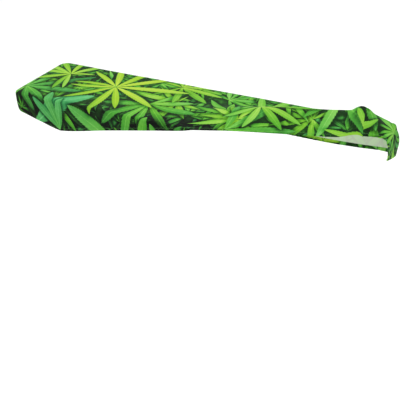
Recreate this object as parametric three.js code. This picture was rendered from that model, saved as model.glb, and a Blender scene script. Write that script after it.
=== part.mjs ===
// Fitted cover, one printed stretch cloth boxed at its corners and open below.
// Its front right part is pushed back over the top, into a soft ridge that ends in a hump.
// Millimetres, +X along the length, +Y to the back, +Z up.
// The origin is under the middle of the top panel, on the side of the cloth that faces down.
import * as THREE from 'three';

// The hollow that the cover was sewn to fit
const insideLength = 1330;
const insideDepth = 299;

// The cloth
const clothThickness = 2;
const skirtHeight = 117;        // from the top edge to the hem
const topEdgeRadius = 9;        // bend where the top panel turns down
const turnUnderRadius = 14;     // bend where the elastic hem draws the skirt under
const freeHang = 131;           // as deep as the skirt reaches where nothing draws it under

// The left end, drawn under all round
const leftStart = -470;         // where the stations along the cover begin
const endSkirtHeight = 100;
const endHang = 90;
const endTurnRadius = 24;       // it is drawn under in a wider bend
const endBelly = 3;             // and its middle stands out
const frontCornerRadius = 24;   // seen from above
const backCornerRadius = 33;

// Slack cloth is kept out of the hollow, taken with rounded edges, down to this depth
const guardRadius = 9;
const guardDepth = 60;
const guardTaper = 6;           // each end of the hollow is this much shorter at the top
const taperDepth = 22;          // and has its full length from this depth on

// The mesh: ribs run from the middle line of the top panel over its edge to the hem
const stationsAlong = 50;       // front and back ribs between the left start and the right end
const stationCrowding = 1.25;   // above 1 they stand closer at the right end
const topRows = 5;              // steps from the middle line to the top edge
const skirtRows = 13;           // steps from that edge to the hem
const rowCrowding = 1.3;        // above 1 they are shorter at the top edge
const cornerRibs = 5;
const nearCornerRibs = 5;
const leftSideRibs = 7;
const ribsPerRightRow = 2;

// Everything is worked out on the middle of the cloth's thickness
const halfThickness = clothThickness / 2;
const halfLength = insideLength / 2 + halfThickness;
const halfDepth = insideDepth / 2 + halfThickness;

// Front of the cover, from left to right
// hemDrop: cloth between the front edge and the hem, below 0 where the hem lies back on the top
// rise: height of the ridge over the top panel
// lean: how far the hem stands to the right of the ridge
// hemLift: how far the hem is lifted off what it lies on
const frontRows = [
  { x: -470, hemDrop: 118, rise: 0, lean: 0, hemLift: 0 },
  { x: -434, hemDrop: 112, rise: 0, lean: 0, hemLift: 0 },
  { x: -360, hemDrop: 96, rise: 0, lean: 0, hemLift: 0 },
  { x: -286, hemDrop: 78, rise: 0, lean: 0, hemLift: 0 },
  { x: -73, hemDrop: 32, rise: 2, lean: 0, hemLift: 0 },
  { x: 66, hemDrop: 2, rise: 11, lean: 0, hemLift: 0 },
  { x: 200, hemDrop: -46, rise: 24, lean: 0, hemLift: 0 },
  { x: 330, hemDrop: -87, rise: 34, lean: 2, hemLift: 0 },
  { x: 430, hemDrop: -116, rise: 34, lean: 8, hemLift: 0 },
  { x: 500, hemDrop: -138, rise: 37, lean: 16, hemLift: 1 },
  { x: 522, hemDrop: -152, rise: 36, lean: 19, hemLift: 3 },
  { x: 537, hemDrop: -165, rise: 44, lean: 22, hemLift: 4 },
  { x: 550, hemDrop: -173, rise: 48, lean: 24, hemLift: 3 },
  { x: 562, hemDrop: -174, rise: 43, lean: 26, hemLift: 1 },
];
const ridgeRoundness = 0.16;    // rounding of the ridge, as a share of the skirt
const ridgeLee = 95;            // behind the ridge the top panel sinks back over this width

// Back of the cover, from left to right
// edgeBack and edgeDown: how far the top edge has slid over the back
// hemDrop: as on the front; hang: depth at which the skirt turns under
// belly: how far the middle of the skirt stands out; hemOut: how far its hem does
const backRows = [
  { x: -470, edgeBack: 0, edgeDown: 0, hemDrop: 113, hang: 99, belly: 1, hemOut: 0 },
  { x: -400, edgeBack: 0, edgeDown: 0, hemDrop: 115, hang: 101, belly: 2, hemOut: 0 },
  { x: -200, edgeBack: 0, edgeDown: 0, hemDrop: 117, hang: 105, belly: 4, hemOut: 1 },
  { x: 0, edgeBack: 0, edgeDown: 0, hemDrop: 118, hang: 109, belly: 6, hemOut: 1 },
  { x: 250, edgeBack: 1, edgeDown: 1, hemDrop: 119, hang: 116, belly: 7, hemOut: 3 },
  { x: 430, edgeBack: 2, edgeDown: 3, hemDrop: 119, hang: 124, belly: 7, hemOut: 4 },
  { x: 540, edgeBack: 4, edgeDown: 6, hemDrop: 116, hang: 130, belly: 7, hemOut: 6 },
  { x: 615, edgeBack: 7, edgeDown: 12, hemDrop: 110, hang: 130, belly: 7, hemOut: 7 },
];
const edgeShare = 0.4;          // the share of the top panel that follows the back edge down

// Right end of the cover, from the hump to the back corner: its top edge, its hem and its belly
const rightRows = [
  { topX: 574, topY: 133, topZ: 34, hemX: 611, hemY: 35, hemZ: 0, belly: 3 },
  { topX: 589, topY: 134, topZ: 25, hemX: 634, hemY: 38, hemZ: 0, belly: 5 },
  { topX: 608, topY: 136, topZ: 15, hemX: 655, hemY: 33, hemZ: 0, belly: 8 },
  { topX: 628, topY: 139, topZ: 8, hemX: 667, hemY: 25, hemZ: -12, belly: 11 },
  { topX: 642, topY: 143, topZ: 4, hemX: 670, hemY: 29, hemZ: -38, belly: 13 },
  { topX: 651, topY: 148, topZ: -4, hemX: 669, hemY: 42, hemZ: -64, belly: 14 },
  { topX: 656, topY: 152, topZ: -12, hemX: 665, hemY: 56, hemZ: -85, belly: 15 },
  { topX: 658, topY: 157, topZ: -19, hemX: 672, hemY: 94, hemZ: -96, belly: 13 },
  { topX: 655, topY: 160, topZ: -20, hemX: 674, hemY: 136, hemZ: -108, belly: 13 },
  { topX: 641, topY: 159, topZ: -15, hemX: 661, hemY: 159, hemZ: -115, belly: 10 },
];
const bellyLift = 0.45;         // the bellies point this far up for each 1 outward
const frontShape = 1 / 3;       // share of the right end that still has the last front rib's bend
const backTurn = 0.62;          // from here on the right end turns towards the back
const backShape = 0.72;         // and from here on it takes on the last back rib's bend

// Soft troughs that run down from the bunched top edge of the right end
// at: place along that end, 0 at the hump and 1 at the back
const endCreases = [
  { at: 0.09, depth: 3, width: 0.045 },
  { at: 0.32, depth: 3, width: 0.05 },
  { at: 0.5, depth: 4, width: 0.05 },
  { at: 0.68, depth: 3, width: 0.05 },
];
const creaseFade = 0.7;

// Places along a rib from the top edge, 0, to the hem, 1
const skirtSteps = Array.from({ length: skirtRows + 1 }, (_, k) => (k / skirtRows) ** rowCrowding);

function clamp(value, low, high) {
  return Math.min(Math.max(value, low), high);
}

function mix(a, b, t) {
  return a + (b - a) * t;
}

function ease(t) {
  const s = clamp(t, 0, 1);
  return s * s * (3 - 2 * s);
}

// Smooth value of one column at x, without overshoot between the rows
function columnAt(rows, column, x) {
  const last = rows.length - 2;
  let i = 0;
  while (i < last && x > rows[i + 1].x) i += 1;
  const slope = (k) => {
    if (k < 0 || k > last) return null;
    return (rows[k + 1][column] - rows[k][column]) / (rows[k + 1].x - rows[k].x);
  };
  const tangent = (before, after) => {
    if (before === null) return after;
    if (after === null) return before;
    return before * after > 0 ? (2 * before * after) / (before + after) : 0;
  };
  const step = rows[i + 1].x - rows[i].x;
  const t = clamp((x - rows[i].x) / step, 0, 1);
  const startTangent = tangent(slope(i - 1), slope(i)) * step;
  const endTangent = tangent(slope(i), slope(i + 1)) * step;
  const start = rows[i][column];
  const end = rows[i + 1][column];
  return start * (1 + 2 * t) * (1 - t) ** 2 + startTangent * t * (1 - t) ** 2
    + end * t * t * (3 - 2 * t) + endTangent * t * t * (t - 1);
}

// Where cloth lies after a run over the top edge: out from the side, and up.
// A negative run is still on the top. Close to the depth of hang it turns under.
function wrap(run, hang, turnRadius = turnUnderRadius) {
  const topArc = topEdgeRadius * Math.PI / 2;
  const bottomArc = turnRadius * Math.PI / 2;
  const along = run + topArc / 2;
  if (along <= 0) return { out: along - topEdgeRadius, up: 0 };
  if (along < topArc) {
    const angle = along / topEdgeRadius;
    return { out: topEdgeRadius * (Math.sin(angle) - 1), up: topEdgeRadius * (Math.cos(angle) - 1) };
  }
  const down = topEdgeRadius + along - topArc;
  const under = down - (hang - turnRadius);
  if (under <= 0) return { out: 0, up: -down };
  if (under < bottomArc) {
    const angle = under / turnRadius;
    return {
      out: turnRadius * (Math.cos(angle) - 1),
      up: turnRadius * (1 - Math.sin(angle)) - hang,
    };
  }
  return { out: bottomArc - turnRadius - under, up: -hang };
}

// A point that has strayed into the hollow goes to the nearest place on its rounded surface
function keepOutside(point) {
  if (point.z < -guardDepth) return point;
  const end = halfLength - guardTaper * clamp(1 + point.z / taperDepth, 0, 1);
  const core = new THREE.Vector3(
    clamp(point.x, guardRadius - end, end - guardRadius),
    clamp(point.y, guardRadius - halfDepth, halfDepth - guardRadius),
    Math.min(point.z, -guardRadius));
  const away = point.clone().sub(core);
  const distance = away.length();
  if (distance >= guardRadius) return point;
  if (distance > 0) return core.addScaledVector(away, guardRadius / distance);
  const nearerSide = end - point.x < -point.z;
  return nearerSide
    ? new THREE.Vector3(end, point.y, point.z)
    : new THREE.Vector3(point.x, point.y, 0);
}

// Share of the ridge's height that is left down its front face
function ridgeShare(t) {
  const reach = Math.hypot(1, ridgeRoundness) - ridgeRoundness;
  return 1 - (Math.hypot(t, ridgeRoundness) - ridgeRoundness) / reach;
}

function frontRib(x) {
  const at = (column) => columnAt(frontRows, column, x);
  const flatLength = Math.sqrt(skirtHeight ** 2 - at('rise') ** 2 - at('lean') ** 2);
  const edgeRun = Math.min(at('hemDrop') - flatLength, 0);
  return skirtSteps.map((t) => {
    const place = wrap(mix(edgeRun, at('hemDrop'), t), freeHang);
    const up = place.up + at('rise') * ridgeShare(t) + at('hemLift') * t;
    return new THREE.Vector3(x + at('lean') * t, -halfDepth - place.out, up);
  });
}

function backRib(x) {
  const at = (column) => columnAt(backRows, column, x);
  return skirtSteps.map((t) => {
    const place = wrap(at('hemDrop') * t, at('hang'));
    const slid = mix(at('edgeBack'), at('hemOut'), t);
    const out = place.out + slid + at('belly') * Math.sin(Math.PI * t);
    return keepOutside(new THREE.Vector3(x, halfDepth + out, place.up - at('edgeDown') * (1 - t)));
  });
}

// The values between two shapes of a rib
function mixShapes(a, b, share) {
  const shape = {};
  for (const name of Object.keys(a)) shape[name] = mix(a[name], b[name], share);
  return shape;
}

// A rib of the left end, square to the edge that it goes over
function leftRib(x, y, outX, outY, shape) {
  return skirtSteps.map((t) => {
    const place = wrap(shape.drop * t, shape.hang, shape.turnRadius);
    const out = place.out + shape.belly * Math.sin(Math.PI * t);
    return new THREE.Vector3(x + outX * out, y + outY * out, place.up);
  });
}

// A point of the top panel between a front and a back edge point, u from 0 to 1
function panelPoint(front, back, u) {
  const width = back.y - front.y;
  const lee = clamp(u * width / Math.min(ridgeLee, width), 0, 1);
  const point = new THREE.Vector3().lerpVectors(front, back, u);
  point.z = front.z * (1 + Math.cos(Math.PI * lee)) / 2 + back.z * ease((u + edgeShare - 1) / edgeShare);
  return keepOutside(point);
}

// Adds the top panel to a front or back rib, from the middle line out to its edge, u 0 or 1
function withPanel(rib, front, back, edge) {
  const points = [];
  for (let k = 0; k < topRows; k += 1) {
    points.push(panelPoint(front[0], back[0], mix(0.5, edge, k / topRows)));
  }
  return [...points, ...rib];
}

// Adds the top panel to a rib of an end, where all ribs meet in one point.
// bendAt gives how far step k stands from the straight line to that point.
function withFan(rib, hub, bendAt = () => new THREE.Vector3()) {
  const points = [];
  for (let k = 0; k < topRows; k += 1) {
    points.push(keepOutside(new THREE.Vector3().lerpVectors(hub, rib[0], k / topRows).add(bendAt(k))));
  }
  return [...points, ...rib];
}

// How far each point of a rib stands from the straight line between its two ends
function bendOf(rib) {
  return rib.map((point, k) => point.clone().sub(rib[0].clone().lerp(rib[skirtRows], skirtSteps[k])));
}

// The same for the top panel's part of a rib, from the middle line out
function panelBendOf(rib) {
  const line = (k) => rib[0].clone().lerp(rib[topRows], k / topRows);
  return rib.slice(0, topRows).map((point, k) => point.clone().sub(line(k)));
}

// Depth of the troughs at a place along the right end, t from its top edge to its hem
function creaseDepth(along, t) {
  return endCreases.reduce((sum, crease) => {
    const across = (along - crease.at) / crease.width;
    return sum + crease.depth * Math.exp(-across * across) * (1 - t) ** creaseFade;
  }, 0);
}

function smoothLine(points) {
  return new THREE.CatmullRomCurve3(points, false, 'catmullrom');
}

function rightRibs(lastFront, lastBack) {
  const tops = rightRows.map((row) => new THREE.Vector3(row.topX, row.topY, row.topZ));
  const hems = rightRows.map((row) => new THREE.Vector3(row.hemX, row.hemY, row.hemZ));
  const topLine = smoothLine([lastFront[0], ...tops, lastBack[0]]);
  const hemLine = smoothLine([lastFront[skirtRows], ...hems, lastBack[skirtRows]]);
  const hub = panelPoint(lastFront[0], lastBack[0], 0.5);
  const frontPanelBend = panelBendOf(withPanel(lastFront, lastFront, lastBack, 0));
  const backPanelBend = panelBendOf(withPanel(lastBack, lastFront, lastBack, 1));
  const bellies = [0, ...rightRows.map((row) => row.belly), 0];
  const frontBend = bendOf(lastFront);
  const backBend = bendOf(lastBack);
  const spans = rightRows.length + 1;
  const count = spans * ribsPerRightRow;
  const ribs = [];
  for (let i = 1; i < count; i += 1) {
    const along = i / count;
    const row = Math.floor(along * spans);
    const belly = mix(bellies[row], bellies[row + 1], along * spans - row);
    const turn = (Math.PI / 2) * ease((along - backTurn) / (1 - backTurn));
    const outward = new THREE.Vector3(Math.cos(turn), Math.sin(turn), bellyLift).normalize();
    const likeFront = 1 - ease(along / frontShape);
    const likeBack = ease((along - backShape) / (1 - backShape));
    const top = topLine.getPoint(along);
    const hem = hemLine.getPoint(along);
    const rib = skirtSteps.map((t, k) => {
      const point = top.clone().lerp(hem, t);
      point.addScaledVector(outward, belly * Math.sin(Math.PI * t) - creaseDepth(along, t));
      point.addScaledVector(frontBend[k], likeFront);
      point.addScaledVector(backBend[k], likeBack);
      return keepOutside(point);
    });
    ribs.push(withFan(rib, hub, (k) => new THREE.Vector3()
      .addScaledVector(frontPanelBend[k], likeFront)
      .addScaledVector(backPanelBend[k], likeBack)));
  }
  return ribs;
}

// From the back of the cover round its left end to the front
function leftRibs(hub) {
  const ribs = [];
  const end = { drop: endSkirtHeight, hang: endHang, turnRadius: endTurnRadius, belly: endBelly };
  // at the back the bend widens from the corner on only
  const cornerStart = (side) => (side > 0 ? { ...end, turnRadius: turnUnderRadius } : end);
  const addRib = (x, y, outX, outY, shape) => {
    ribs.push(withFan(leftRib(x, y, outX, outY, shape), hub));
  };
  const addNear = (side, radius, start, share) => {
    const x = mix(leftStart, radius - halfLength, share);
    addRib(x, side * halfDepth, 0, side, mixShapes(start, cornerStart(side), share));
  };
  const addCorner = (side, radius, share) => {
    const outX = -Math.sin(share * Math.PI / 2);
    const outY = side * Math.cos(share * Math.PI / 2);
    const x = radius - halfLength + radius * outX;
    const y = side * (halfDepth - radius) + radius * outY;
    addRib(x, y, outX, outY, mixShapes(cornerStart(side), end, share));
  };
  const { hemDrop, hang, belly } = backRows[0];
  const back = { drop: hemDrop, hang, turnRadius: turnUnderRadius, belly };
  const front = { drop: frontRows[0].hemDrop, hang: freeHang, turnRadius: turnUnderRadius, belly: 0 };
  for (let i = 1; i <= nearCornerRibs; i += 1) addNear(1, backCornerRadius, back, i / nearCornerRibs);
  for (let i = 1; i <= cornerRibs; i += 1) addCorner(1, backCornerRadius, i / cornerRibs);
  for (let i = 1; i < leftSideRibs; i += 1) {
    const y = mix(halfDepth - backCornerRadius, frontCornerRadius - halfDepth, i / leftSideRibs);
    addRib(-halfLength, y, -1, 0, end);
  }
  for (let i = cornerRibs; i >= 0; i -= 1) addCorner(-1, frontCornerRadius, i / cornerRibs);
  for (let i = nearCornerRibs - 1; i >= 1; i -= 1) addNear(-1, frontCornerRadius, front, i / nearCornerRibs);
  return ribs;
}

// All ribs in one ring, seen from above against the clock from the front left
function makeRibs() {
  const frontEnd = frontRows[frontRows.length - 1].x;
  const backEnd = backRows[backRows.length - 1].x;
  const stations = Array.from({ length: stationsAlong }, (_, i) => {
    const share = 1 - (1 - i / (stationsAlong - 1)) ** stationCrowding;
    const front = frontRib(mix(leftStart, frontEnd, share));
    const back = backRib(mix(leftStart, backEnd, share));
    return { front, back };
  });
  const first = stations[0];
  const last = stations[stationsAlong - 1];
  return [
    ...stations.map(({ front, back }) => withPanel(front, front, back, 0)),
    ...rightRibs(last.front, last.back),
    ...stations.toReversed().map(({ front, back }) => withPanel(back, front, back, 1)),
    ...leftRibs(panelPoint(first.front[0], first.back[0], 0.5)),
  ];
}

// The points of the ribs, each once, with the triangles of the net between them
function makeNet(ribs) {
  const points = [];
  const numbers = new Map();
  const numberOf = (point) => {
    const key = point.toArray().map((value) => value.toFixed(3)).join(' ');
    if (!numbers.has(key)) {
      numbers.set(key, points.length);
      points.push(point);
    }
    return numbers.get(key);
  };
  const rows = ribs.map((rib) => rib.map(numberOf));
  const triangles = [];
  rows.forEach((rib, i) => {
    const next = rows[(i + 1) % rows.length];
    for (let k = 0; k + 1 < rib.length; k += 1) {
      triangles.push([rib[k], rib[k + 1], next[k + 1]]);
      if (rib[k] !== next[k]) triangles.push([rib[k], next[k + 1], next[k]]);
    }
  });
  return { points, triangles, hem: rows.map((rib) => rib[rib.length - 1]) };
}

// A closed sheet: the net twice, half a thickness to each side, joined along the hem
function makeSheet(net) {
  const middle = new THREE.BufferGeometry().setFromPoints(net.points);
  middle.setIndex(net.triangles.flat());
  middle.computeVertexNormals();
  const normals = middle.attributes.normal;
  const positions = [];
  for (const side of [halfThickness, -halfThickness]) {
    net.points.forEach((point, i) => {
      const normal = new THREE.Vector3().fromBufferAttribute(normals, i);
      const shifted = point.clone().addScaledVector(normal, side);
      positions.push(shifted.x, shifted.y, shifted.z + halfThickness);
    });
  }
  const count = net.points.length;
  const index = [];
  for (const [a, b, c] of net.triangles) index.push(a, b, c, a + count, c + count, b + count);
  net.hem.forEach((a, i) => {
    const b = net.hem[(i + 1) % net.hem.length];
    index.push(a, a + count, b + count, a, b + count, b);
  });
  const geometry = new THREE.BufferGeometry();
  geometry.setAttribute('position', new THREE.Float32BufferAttribute(positions, 3));
  geometry.setIndex(index);
  geometry.computeVertexNormals();
  return geometry;
}

function makeCover() {
  const printedCloth = new THREE.MeshStandardMaterial({ color: 0x5aa53a, roughness: 0.85, metalness: 0 });
  const cover = new THREE.Mesh(makeSheet(makeNet(makeRibs())), printedCloth);
  cover.name = 'cover';
  return cover;
}

const fittedCover = new THREE.Group();
fittedCover.add(makeCover());

export default fittedCover;
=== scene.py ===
import math

import bpy
import numpy as np
from mathutils import Matrix, Vector


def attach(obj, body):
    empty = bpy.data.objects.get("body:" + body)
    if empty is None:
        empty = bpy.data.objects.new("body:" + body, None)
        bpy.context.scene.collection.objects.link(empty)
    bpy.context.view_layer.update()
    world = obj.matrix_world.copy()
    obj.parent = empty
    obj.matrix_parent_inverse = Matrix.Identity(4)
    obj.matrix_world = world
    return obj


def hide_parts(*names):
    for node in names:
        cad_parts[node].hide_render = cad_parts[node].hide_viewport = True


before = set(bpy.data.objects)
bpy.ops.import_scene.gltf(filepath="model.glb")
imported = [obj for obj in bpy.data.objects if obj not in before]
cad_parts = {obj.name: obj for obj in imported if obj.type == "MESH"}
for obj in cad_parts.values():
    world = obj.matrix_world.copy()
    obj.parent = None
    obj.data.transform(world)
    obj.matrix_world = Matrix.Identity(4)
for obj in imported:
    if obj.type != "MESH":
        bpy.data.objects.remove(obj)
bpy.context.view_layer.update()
print("frame loaded")

mm = 0.001

# The cover is worked out in millimetres on the middle of its cloth, and turned to metres at the end.
# Its sizes, main folds and origin are those of the solid it replaces. It has more ribs, a finer hem, and
# small folds of its own.
cover = {
    "insideLength": 1330,
    "insideDepth": 299,
    "solidThickness": 2,        # of the solid that this cloth replaces
    "clothThickness": 1.1,
    "skirtHeight": 117,         # from the top edge to the hem
    "topEdgeRadius": 9,
    "turnUnderRadius": 14,      # where the elastic draws the skirt under
    "freeHang": 131,            # as deep as a skirt reaches where nothing draws it under
    "leftStart": -470,          # from here to the left, both skirts take on the left end's shape
    "endSkirtHeight": 100,
    "endHang": 90,
    "endTurnRadius": 24,        # the left end is drawn under in a wider bend
    "endBelly": 3,              # and its middle stands out
    "frontCornerRadius": 24,
    "backCornerRadius": 33,
    "guardRadius": 9,           # slack cloth stays out of the hollow, down to guardDepth
    "guardDepth": 60,
    "guardTaper": 6,            # by this much each end of the hollow is shorter at the top,
    "taperDepth": 22,           # above this depth
    "ridgeRoundness": 0.16,     # of the ridge along the hem, as a share of the skirt
    "ridgeLee": 95,             # behind the ridge the panel sinks back over this width
    "edgeShare": 0.4,           # and it sinks to the back edge over this share of its depth
    "bellyLift": 0.45,          # how far a belly of the right end points up, for each step outward
    "frontShape": 1 / 3,        # so far along, the right end still has some of the front's bends,
    "backShape": 0.72,          # and from here some of the back's
    "backTurn": 0.62,           # from here its bellies turn from the end to the back
    "creaseFade": 0.7,          # how its creases thin out down the skirt
    "backSeamAt": 0.94,         # place of the back corner's seam along the right end
    "frontSeamAngle": -38,      # degrees, how the front corner's seam lies on the flat cut
    "seamDepth": 0.9,
    "hemWidth": 12,             # turned up inside
    "hemStep": 1.2,             # the width over which the hem's upper edge rises
    "hemSwell": 0.45,           # how far the doubled hem stands out on the outside
    "hemInward": 0.6,           # and on the inside, in thicknesses of the cloth
    "rimRoundness": 0.8,
    "stitchesAt": 9,            # above the hem, on one of its rows
    "evenHem": 4,               # so high above the hem the cloth starts to be uneven,
    "evenFade": 30,             # and over this height more so
    "humpReach": 25,            # round the hump, where the ribs crowd together, the reverse keeps
    "humpThickness": 0.2,       # as close as this under the face
}
# How fine the mesh is
fineness = {
    "stationsAlong": 226,
    "stationCrowding": 1.25,    # the ribs crowd towards the hump
    "topRows": 24,
    "skirtRows": 42,
    "rowCrowding": 1.2,         # the rows of a skirt crowd towards its top edge
    "hemRows": [13.6, 12.4, 11.2, 9, 6.5, 4, 2, 0.8, 0],    # above the hem, in millimetres
    "cornerRibs": 14,
    "nearCornerRibs": 14,
    "leftSideRibs": 40,
    "ribsPerRightRow": 6,
}
halfThickness = cover["solidThickness"] / 2
halfLength = cover["insideLength"] / 2 + halfThickness
halfDepth = cover["insideDepth"] / 2 + halfThickness


# A table by its columns' names
def rowsOf(columns, *rows):
    return dict(zip(columns.split(), np.array(rows, float).T))


# The front, the back and the right end, in rows from left to right and then round to the back
frontRows = rowsOf(
    "x hemDrop rise lean hemLift",
    (-470, 118, 0, 0, 0),
    (-434, 112, 0, 0, 0),
    (-360, 96, 0, 0, 0),
    (-286, 78, 0, 0, 0),
    (-73, 32, 2, 0, 0),
    (66, 2, 11, 0, 0),
    (200, -46, 24, 0, 0),
    (330, -87, 34, 2, 0),
    (430, -116, 34, 8, 0),
    (500, -138, 37, 16, 1),
    (522, -152, 36, 19, 3),
    (537, -165, 44, 22, 4),
    (550, -173, 48, 24, 3),
    (562, -174, 43, 26, 1),
)
backRows = rowsOf(
    "x edgeBack edgeDown hemDrop hang belly hemOut",
    (-470, 0, 0, 113, 99, 1, 0),
    (-400, 0, 0, 115, 101, 2, 0),
    (-200, 0, 0, 117, 105, 4, 1),
    (0, 0, 0, 118, 109, 6, 1),
    (250, 1, 1, 119, 116, 7, 3),
    (430, 2, 3, 119, 124, 7, 4),
    (540, 4, 6, 116, 130, 7, 6),
    (615, 7, 12, 110, 130, 7, 7),
)
rightRows = rowsOf(
    "topX topY topZ hemX hemY hemZ belly",
    (574, 133, 34, 611, 35, 0, 3),
    (589, 134, 25, 634, 38, 0, 5),
    (608, 136, 15, 655, 33, 0, 8),
    (628, 139, 8, 667, 25, -12, 11),
    (642, 143, 4, 670, 29, -38, 13),
    (651, 148, -4, 669, 42, -64, 14),
    (656, 152, -12, 665, 56, -85, 15),
    (658, 157, -19, 672, 94, -96, 13),
    (655, 160, -20, 674, 136, -108, 13),
    (641, 159, -15, 661, 159, -115, 10),
)
# Troughs that run down from the bunched top edge of the right end, 0 at the hump and 1 at the back
endCreases = rowsOf(
    "at depth width",
    (0.09, 3, 0.045),
    (0.32, 3, 0.05),
    (0.5, 4, 0.05),
    (0.68, 3, 0.05),
)


def mix(a, b, t):
    return a + (b - a) * t


def ease(t):
    s = np.clip(t, 0, 1)
    return s * s * (3 - 2 * s)


# Smooth values of one column at the places x, without overshoot between the rows
def columnAt(rows, column, x):
    at, value = rows["x"], rows[column]
    slope = np.diff(value) / np.diff(at)
    before, after = slope[:-1], slope[1:]
    alike = before * after > 0
    inner = np.where(alike, 2 * before * after / np.where(alike, before + after, 1), 0)
    tangent = np.concatenate([slope[:1], inner, slope[-1:]])
    i = np.clip(np.searchsorted(at, x) - 1, 0, len(slope) - 1)
    step = at[i + 1] - at[i]
    t = np.clip((x - at[i]) / step, 0, 1)
    return (value[i] * (1 + 2 * t) * (1 - t) ** 2 + tangent[i] * step * t * (1 - t) ** 2
            + value[i + 1] * t * t * (3 - 2 * t) + tangent[i + 1] * step * t * t * (t - 1))


# All columns but x at the places x, to be spread along the ribs there
def columnsAt(rows, x):
    return [columnAt(rows, name, x)[:, None] for name in rows if name != "x"]


# Where cloth lies after a run over the top edge: out from the side, and up
def wrap(run, hang, under=cover["turnUnderRadius"]):
    edge = cover["topEdgeRadius"]
    topArc, bottomArc = edge * math.pi / 2, under * math.pi / 2
    along = run + topArc / 2
    down = edge + along - topArc
    past = down - (hang - under)
    stretches = [along <= 0, along < topArc, past <= 0, past < bottomArc]
    zero = np.zeros_like(along)
    out = np.select(stretches, [along - edge, edge * (np.sin(along / edge) - 1), zero,
                                under * (np.cos(past / under) - 1)], bottomArc - under - past)
    up = np.select(stretches, [zero, edge * (np.cos(along / edge) - 1), -down,
                               under * (1 - np.sin(past / under)) - hang], -hang)
    return out, up


# Points that have strayed into the hollow go to the nearest place on its rounded surface
def keepOutside(points):
    radius = cover["guardRadius"]
    x, y, z = points[..., 0], points[..., 1], points[..., 2]
    end = halfLength - cover["guardTaper"] * np.clip(1 + z / cover["taperDepth"], 0, 1)
    core = np.stack([np.clip(x, radius - end, end - radius),
                     np.clip(y, radius - halfDepth, halfDepth - radius),
                     np.minimum(z, -radius)], axis=-1)
    away = points - core
    distance = np.linalg.norm(away, axis=-1, keepdims=True)
    pushed = core + away * radius / np.maximum(distance, 1e-9)
    toSide = np.stack([end, y, z], axis=-1)
    toTop = np.stack([x, y, np.zeros_like(z)], axis=-1)
    nearest = np.where((end - x < -z)[..., None], toSide, toTop)
    moved = np.where(distance > 0, pushed, nearest)
    stays = (distance >= radius) | (z < -cover["guardDepth"])[..., None]
    return np.where(stays, points, moved)


# Places along a rib from the top edge, 0, to the hem, 1, with the hem's own rows at the end
fromHem = np.array(fineness["hemRows"]) / cover["skirtHeight"]
evenSteps = np.arange(fineness["skirtRows"]) / fineness["skirtRows"]
upperSkirt = evenSteps ** fineness["rowCrowding"] * (1 - fromHem[0])
skirtSteps = np.concatenate([upperSkirt, 1 - fromHem])
topSteps = np.arange(fineness["topRows"]) / fineness["topRows"]


def frontRibs(x):
    hemDrop, rise, lean, hemLift = columnsAt(frontRows, x)
    t = skirtSteps[None, :]
    roundness = cover["ridgeRoundness"]
    reach = math.hypot(1, roundness) - roundness
    ridge = 1 - (np.hypot(t, roundness) - roundness) / reach
    flatLength = np.sqrt(cover["skirtHeight"] ** 2 - rise ** 2 - lean ** 2)
    edgeRun = np.minimum(hemDrop - flatLength, 0)
    out, up = wrap(mix(edgeRun, hemDrop, t), cover["freeHang"])
    return np.stack([x[:, None] + lean * t, -halfDepth - out, up + rise * ridge + hemLift * t], axis=-1)


def backRibs(x):
    edgeBack, edgeDown, hemDrop, hang, belly, hemOut = columnsAt(backRows, x)
    t = skirtSteps[None, :]
    out, up = wrap(hemDrop * t, hang)
    out = out + mix(edgeBack, hemOut, t) + belly * np.sin(math.pi * t)
    across = np.broadcast_to(x[:, None], out.shape)
    return keepOutside(np.stack([across, halfDepth + out, up - edgeDown * (1 - t)], axis=-1))


# Points of the top panel between the front and back edge points, u from 0 to 1
def panelPoints(front, back, u):
    width = (back[:, 1] - front[:, 1])[:, None]
    lee = np.clip(u[None, :] * width / np.minimum(cover["ridgeLee"], width), 0, 1)
    points = mix(front[:, None, :], back[:, None, :], u[None, :, None])
    share = cover["edgeShare"]
    sunk = ease((u + share - 1) / share)
    points[..., 2] = front[:, 2:] * (1 + np.cos(math.pi * lee)) / 2 + back[:, 2:] * sunk
    return keepOutside(points)


def lengthsAlong(points):
    steps = np.linalg.norm(np.diff(points, axis=1), axis=-1)
    return np.concatenate([np.zeros((len(points), 1)), np.cumsum(steps, axis=1)], axis=1)


def smoothLine(points, count):
    # uniform Catmull-Rom through the points, at count even steps
    ends = np.vstack([2 * points[0] - points[1], points, 2 * points[-1] - points[-2]])
    places = np.linspace(0, len(points) - 1, count + 1)
    i = np.minimum(places.astype(int), len(points) - 2)
    t = (places - i)[:, None]
    a, b, c, d = ends[i], ends[i + 1], ends[i + 2], ends[i + 3]
    return 0.5 * (2 * b + (c - a) * t + (2 * a - 5 * b + 4 * c - d) * t ** 2
                  + (3 * b - a - 3 * c + d) * t ** 3)


# A stretch of neighbouring ribs: its points, and its places on the flat cut as its left and right
# neighbours see them. These two differ at a seam only.
def makeStretch(points, flatBefore, flatAfter=None):
    flatAfter = flatBefore if flatAfter is None else flatAfter
    return {"points": points, "before": flatBefore, "after": flatAfter}


def directionOf(angle):
    return np.stack([np.cos(angle), np.sin(angle)], axis=-1)


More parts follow.
